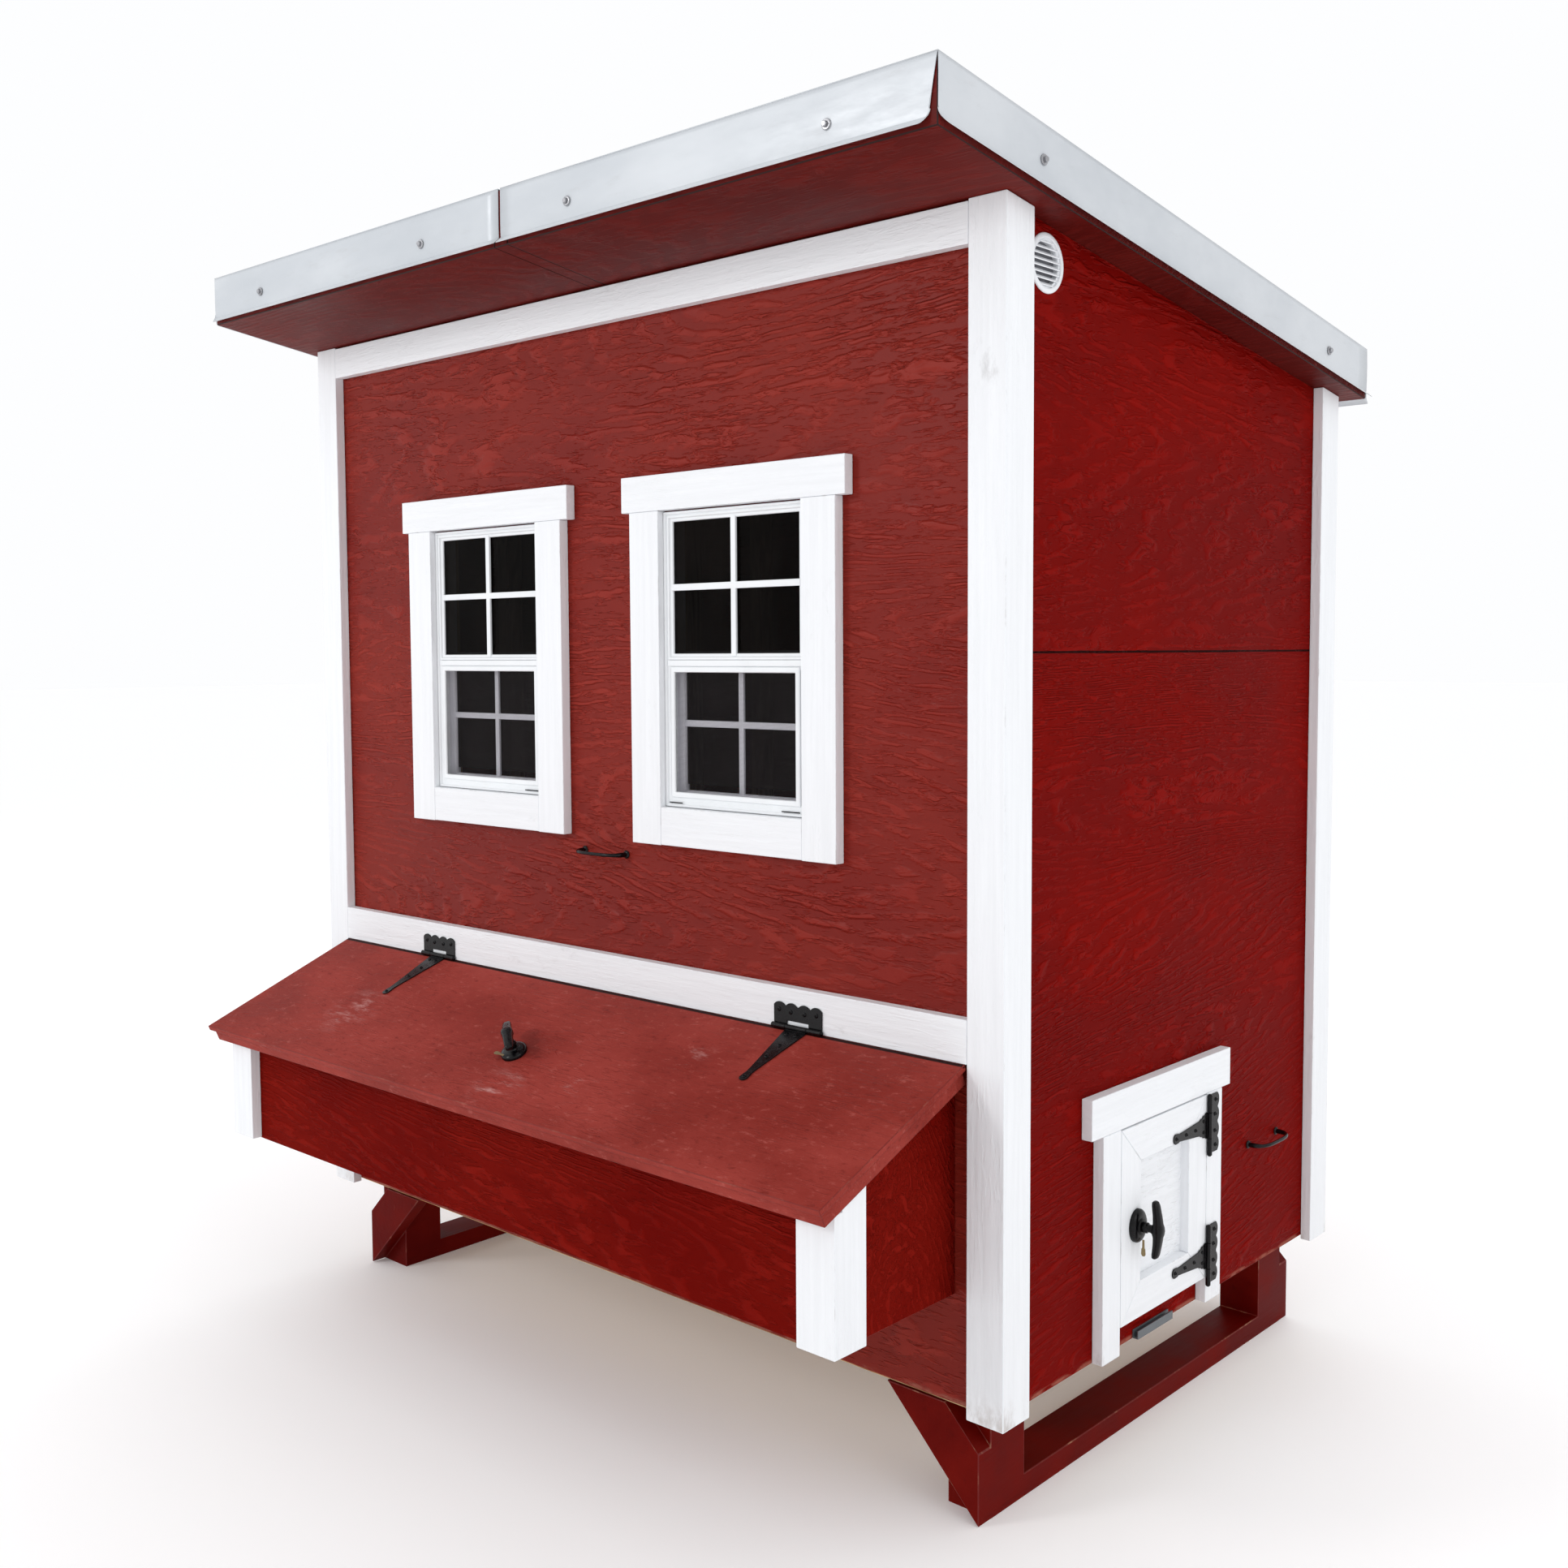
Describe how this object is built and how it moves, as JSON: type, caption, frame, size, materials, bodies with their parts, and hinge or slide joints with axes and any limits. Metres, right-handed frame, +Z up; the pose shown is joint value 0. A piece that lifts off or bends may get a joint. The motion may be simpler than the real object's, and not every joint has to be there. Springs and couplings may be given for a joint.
{
  "type": "chicken coop",
  "caption": "Lean-to hen house on braced skids, with windows, a metal roof, a front nest box under a hinged lid and a side pop door.",
  "frame": {"origin": "centre of the coop's outline on the ground, at the underside of the skids", "axes": "+Z up, -Y towards the front with the windows and nest box, +X towards the wall with the pop door"},
  "size_m": [1.7708, 1.4082, 1.9849],
  "materials": {
    "red_siding": "oil-based red paint over an embossed wood-grain siding panel, low sheen",
    "red_soffit": "red painted embossed sheet under the roof",
    "red_lid": "faded red paint on a nest lid, matte and chalky",
    "white_door": "white painted board frame with mitred corners around an embossed white panel",
    "red_base": "dark red paint over sawn lumber, raw wood at the cut ends",
    "white_trim": "white painted trim boards, slightly scuffed",
    "roof_metal": "white-silver painted steel sheet, folded",
    "white_vinyl": "white vinyl, satin",
    "window_glass": "thin clear glazing over a dark interior",
    "bracket_steel": "grey galvanised steel",
    "bare_lumber": "weathered bare lumber with grain and checks",
    "black_hardware": "black powder-coated steel"
  },
  "bodies": {
    "root": {"access_door_trim": "white_trim", "access_jamb_leaf": "black_hardware", "back_wall_frame": "bare_lumber", "corner_post_back_left": "white_trim", "corner_post_back_right": "white_trim", "corner_post_front_left": "white_trim", "corner_post_front_right": "white_trim", "fixed_pane_left": "window_glass", "fixed_pane_right": "window_glass", "floor_deck": "bare_lumber", "floor_frame": "bare_lumber", "front_top_board": "white_trim", "front_wall_frame": "bare_lumber", "hinge_board": "white_trim", "lid_keeper": "black_hardware", "lid_leaf_left": "black_hardware", "lid_leaf_right": "black_hardware", "nest_box": "red_siding", "nest_corner_left": "white_trim", "nest_corner_right": "white_trim", "pop_door_keeper": "black_hardware", "pop_door_leaf_lower": "black_hardware", "pop_door_leaf_upper": "black_hardware", "pop_door_trim": "white_trim", "ramp_bracket": "bracket_steel", "roof_panel_left": "red_soffit", "roof_panel_right": "red_soffit", "roof_skin_left": "roof_metal", "roof_skin_right": "roof_metal", "roost_bars": "bare_lumber", "side_wall_frame_left": "bare_lumber", "side_wall_frame_right": "bare_lumber", "siding_back": "red_siding", "siding_front": "red_siding", "siding_left": "red_siding", "siding_right": "red_siding", "skid_frame_left": "red_base", "skid_frame_right": "red_base", "vent_left": "white_vinyl", "vent_right": "white_vinyl", "window_frame_left": "white_vinyl", "window_frame_right": "white_vinyl", "window_trim_left": "white_trim", "window_trim_right": "white_trim"},
    "nest_lid": {"lid_sheet": "red_lid", "lid_frame": "red_lid", "lid_strap_left": "black_hardware", "lid_strap_right": "black_hardware"},
    "lid_handle": {"lid_handle": "black_hardware"},
    "pop_door": {"pop_door": "white_door", "pop_door_strap_lower": "black_hardware", "pop_door_strap_upper": "black_hardware"},
    "pop_door_handle": {"pop_door_handle": "black_hardware"},
    "access_door": {"access_door": "white_door", "access_door_leaf": "black_hardware"},
    "access_door_handle": {"access_door_handle": "black_hardware"},
    "window_sash_left": {"sash_left": "white_vinyl", "sash_pane_left": "window_glass"},
    "window_sash_right": {"sash_right": "white_vinyl", "sash_pane_right": "window_glass"}
  },
  "joints": [
    {"name": "nest_lid_hinge", "type": "hinge", "parent": "root", "child": "nest_lid", "pos_m": [0, -0.39827, 0.68199], "axis": [-1, 0, 0], "range_deg": [0, 98]},
    {"name": "lid_handle_turn", "type": "hinge", "parent": "nest_lid", "child": "lid_handle", "pos_m": [0, -0.57867, 0.60308], "axis": [0, 0.3794, -0.9253], "range_deg": [-38, 52]},
    {"name": "pop_door_hinge", "type": "hinge", "parent": "root", "child": "pop_door", "pos_m": [0.84277, 0.1905, 0.37084], "axis": [0, 0, 1], "range_deg": [0, 160]},
    {"name": "pop_door_handle_turn", "type": "hinge", "parent": "pop_door", "child": "pop_door_handle", "pos_m": [0.8382, -0.03556, 0.3683], "axis": [1, 0, 0], "range_deg": [0, 90]},
    {"name": "access_door_hinge", "type": "hinge", "parent": "root", "child": "access_door", "pos_m": [0.28067, 0.66167, 0.87884], "axis": [0, 0, -1], "range_deg": [0, 165]},
    {"name": "access_door_handle_turn", "type": "hinge", "parent": "access_door", "child": "access_door_handle", "pos_m": [-0.23622, 0.6571, 0.87884], "axis": [0, -1, 0], "range_deg": [0, 90]},
    {"name": "window_slide_left", "type": "slide", "parent": "root", "child": "window_sash_left", "axis": [0, 0, 1], "range_m": [0, 0.2]},
    {"name": "window_slide_right", "type": "slide", "parent": "root", "child": "window_sash_right", "axis": [0, 0, 1], "range_m": [0, 0.2]}
  ]
}
